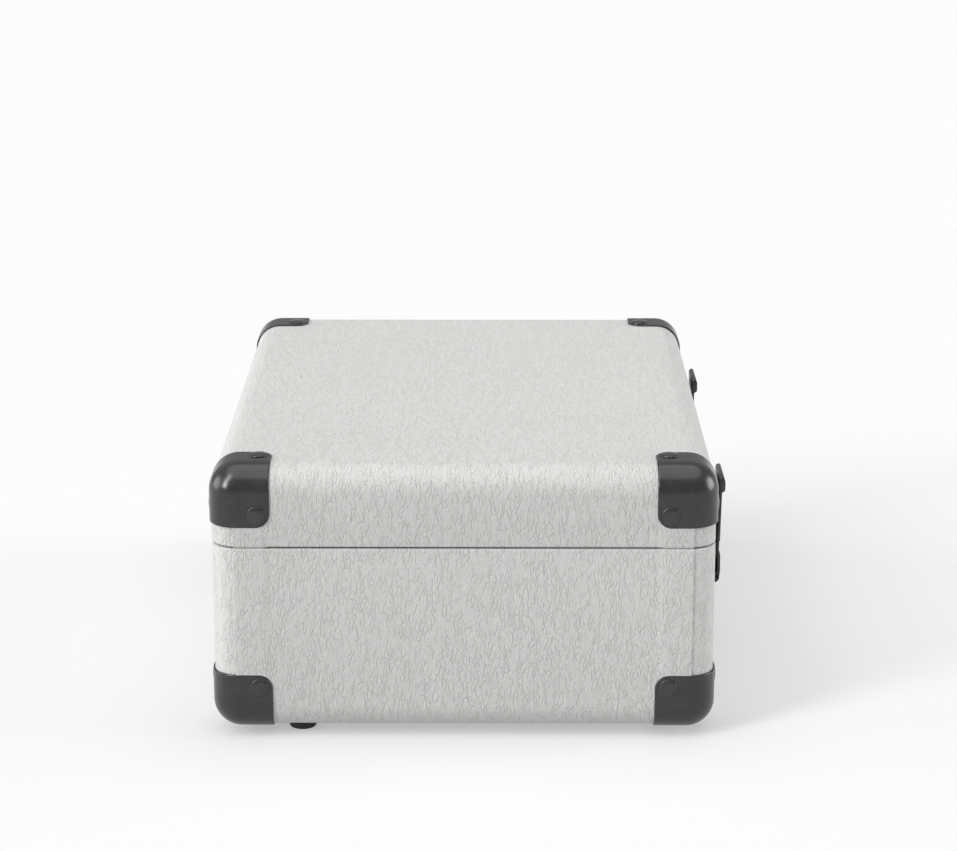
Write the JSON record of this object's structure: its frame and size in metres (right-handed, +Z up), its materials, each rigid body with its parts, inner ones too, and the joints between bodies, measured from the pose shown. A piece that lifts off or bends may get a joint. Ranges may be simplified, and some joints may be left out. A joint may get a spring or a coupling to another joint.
{
  "type": "portable suitcase record player",
  "caption": "Closed suitcase-style record player with metal-look corner plates, front hasps and handle, opening lid, belt-driven platter, tonearm and cueing lift.",
  "frame": {"origin": "on the floor under the middle of the whole object", "axes": "+X along the case towards its right end, +Y towards the hinges at the rear, +Z up; the latches and handle face -Y"},
  "size_m": [0.3556, 0.2744, 0.1488],
  "materials": {
    "vinyl_cover": "off-white pebbled vinyl",
    "raw_board": "plain hardboard",
    "corner_plate": "satin charcoal",
    "black_rubber": "matte",
    "deck_plastic": "fine matte grain",
    "platter_plastic": "satin",
    "mat_felt": "short felt",
    "bright_steel": "satin plated",
    "latch_black": "satin black",
    "grip_plastic": "fine grain",
    "black_plastic": "satin",
    "cone_paper": "fibrous",
    "circuit_board": "solder mask",
    "turned_brass": "turned",
    "arm_metal": "satin",
    "light_lens": "clear red lens"
  },
  "bodies": {
    "base": {"base_walls": "vinyl_cover", "bottom_board": "raw_board", "motor_board": "deck_plastic", "corner_base_rear_left": "corner_plate", "corner_base_rear_right": "corner_plate", "corner_base_front_left": "corner_plate", "corner_base_front_right": "corner_plate", "foot_rear_left": "black_rubber", "foot_rear_right": "black_rubber", "foot_front_left": "black_rubber", "foot_front_right": "black_rubber", "speaker_left": "black_plastic", "speaker_right": "black_plastic", "speaker_cone_left": "cone_paper", "speaker_cone_right": "cone_paper", "amplifier_board": "circuit_board", "jack_panel": "black_plastic", "phono_sockets": "turned_brass", "power_socket": "black_plastic", "bearing_sleeve": "turned_brass", "drive_belt": "black_rubber", "drive_motor": "bright_steel", "headphone_jack": "bright_steel", "power_light": "light_lens", "arm_base": "black_plastic", "arm_rest": "black_plastic", "hinge_base_left": "bright_steel", "hinge_base_right": "bright_steel", "latch_base_left": "latch_black", "latch_base_right": "latch_black", "handle_mount_left": "latch_black", "handle_mount_right": "latch_black"},
    "lid": {"lid_shell": "vinyl_cover", "corner_lid_rear_left": "corner_plate", "corner_lid_rear_right": "corner_plate", "corner_lid_front_left": "corner_plate", "corner_lid_front_right": "corner_plate", "hinge_lid_left": "bright_steel", "hinge_lid_right": "bright_steel", "latch_keeper_left": "latch_black", "latch_keeper_right": "latch_black"},
    "latch_left": {"latch_hasp_left": "latch_black"},
    "latch_right": {"latch_hasp_right": "latch_black"},
    "handle": {"handle": "grip_plastic"},
    "platter": {"platter": "platter_plastic", "slip_mat": "mat_felt", "spindle": "bright_steel"},
    "motor_pulley": {"motor_pulley": "turned_brass"},
    "arm_yoke": {"arm_yoke": "black_plastic"},
    "tonearm": {"arm_tube": "arm_metal", "cartridge": "black_plastic", "counterweight": "bright_steel"},
    "cue_lever": {"cue_lever": "black_plastic"},
    "cue_rest": {"cue_rest": "black_plastic"},
    "arm_clip": {"arm_clip": "black_plastic"},
    "speed_switch": {"speed_switch": "black_plastic"},
    "autostop_switch": {"autostop_switch": "black_plastic"},
    "volume_knob": {"volume_knob": "bright_steel"},
    "adapter_45": {"adapter_45": "black_plastic"}
  },
  "joints": [
    {"name": "lid_hinge", "type": "hinge", "parent": "base", "child": "lid", "pos_m": [0, 0.135, 0.105], "axis": [-1, 0, 0], "range_deg": [0, 95]},
    {"name": "latch_left_hinge", "type": "hinge", "parent": "base", "child": "latch_left", "pos_m": [-0.105, -0.1293, 0.0705], "axis": [1, 0, 0], "range_deg": [0, 135]},
    {"name": "latch_right_hinge", "type": "hinge", "parent": "base", "child": "latch_right", "pos_m": [0.105, -0.1293, 0.0705], "axis": [1, 0, 0], "range_deg": [0, 135]},
    {"name": "handle_hinge", "type": "hinge", "parent": "base", "child": "handle", "pos_m": [0, -0.1306, 0.089], "axis": [-1, 0, 0], "range_deg": [0, 95]},
    {"name": "platter_spin", "type": "hinge", "parent": "base", "child": "platter", "pos_m": [-0.024, -0.0172, 0.1067], "axis": [0, 0, -1], "continuous": true},
    {"name": "pulley_spin", "type": "hinge", "parent": "base", "child": "motor_pulley", "pos_m": [-0.0571, 0.04505, 0.0995], "axis": [0, 0, -1], "continuous": true},
    {"name": "arm_swing", "type": "hinge", "parent": "base", "child": "arm_yoke", "pos_m": [0.118, 0.0888, 0.1235], "axis": [0, 0, -1], "range_deg": [0, 40]},
    {"name": "arm_lift", "type": "hinge", "parent": "arm_yoke", "child": "tonearm", "pos_m": [0.118, 0.0888, 0.1235], "axis": [-0.9962, -0.0872, 0], "range_deg": [-0.6, 3.5]},
    {"name": "cue_lever_turn", "type": "hinge", "parent": "base", "child": "cue_lever", "pos_m": [0.14881, 0.06941, 0.1028], "axis": [0.9962, 0.0872, 0], "range_deg": [0, 32]},
    {"name": "cue_rest_drop", "type": "slide", "parent": "base", "child": "cue_rest", "axis": [0, 0, 1], "range_m": [-0.0031, 0]},
    {"name": "arm_clip_turn", "type": "hinge", "parent": "base", "child": "arm_clip", "pos_m": [0.13567, -0.03513, 0.1275], "axis": [0.0872, -0.9962, 0], "range_deg": [0, 110]},
    {"name": "speed_switch_slide", "type": "slide", "parent": "base", "child": "speed_switch", "axis": [1, 0, 0], "range_m": [-0.004, 0.004]},
    {"name": "autostop_switch_slide", "type": "slide", "parent": "base", "child": "autostop_switch", "axis": [1, 0, 0], "range_m": [-0.004, 0.004]},
    {"name": "volume_turn", "type": "hinge", "parent": "base", "child": "volume_knob", "pos_m": [0.15, -0.0042, 0.1045], "axis": [0, 0, -1], "range_deg": [0, 280]},
    {"name": "adapter_lift_off", "type": "slide", "parent": "base", "child": "adapter_45", "axis": [0, 0, 1], "range_m": [0, 0.03]}
  ],
  "couplings": [
    {"joint": "pulley_spin", "follows": "platter_spin", "ratio": 12},
    {"joint": "cue_rest_drop", "follows": "cue_lever_turn", "m_per_rad": -0.005371}
  ]
}
